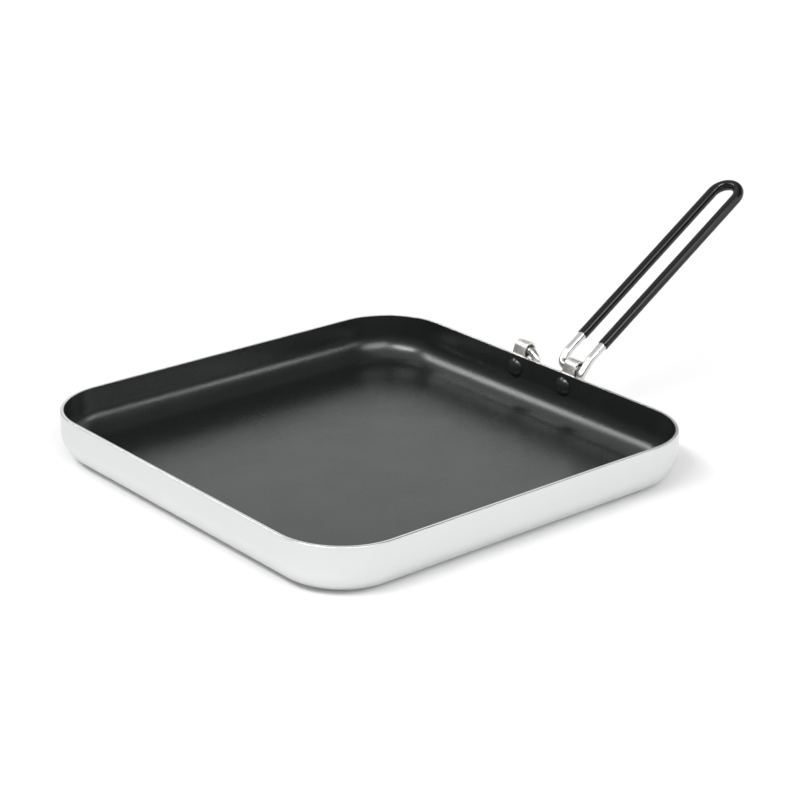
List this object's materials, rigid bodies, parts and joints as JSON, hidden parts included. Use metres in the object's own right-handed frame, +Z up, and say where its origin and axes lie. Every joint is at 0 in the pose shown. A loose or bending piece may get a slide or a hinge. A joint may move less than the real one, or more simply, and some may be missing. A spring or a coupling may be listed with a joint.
{
  "type": "square frying pan",
  "caption": "Shallow square frying pan with rounded corners, a non-stick inside, and a sleeved wire handle that hinges on riveted brackets and folds over the pan.",
  "frame": {"origin": "centre of the pan's flat underside", "axes": "+Z up, +Y towards the wall that carries the handle, +X to the right when looking along +Y"},
  "size_m": [0.254, 0.387, 0.1155],
  "materials": {
    "pressed_aluminium": "satin",
    "nonstick": "satin non-stick coating",
    "strap_steel": "brushed",
    "coated_rivet": "satin coating on metal",
    "wire_steel": "polished",
    "sleeve_vinyl": "glossy"
  },
  "bodies": {
    "pan": {"pan_body": "pressed_aluminium", "nonstick_lining": "nonstick", "bracket_left": "strap_steel", "bracket_right": "strap_steel", "rivet_left": "coated_rivet", "rivet_right": "coated_rivet"},
    "handle": {"handle_wire": "wire_steel", "grip_sleeve": "sleeve_vinyl"}
  },
  "joints": [
    {"name": "handle_fold", "type": "hinge", "parent": "pan", "child": "handle", "pos_m": [0, 0.1319, 0.02995], "axis": [1, 0, 0], "range_deg": [0, 124]}
  ]
}
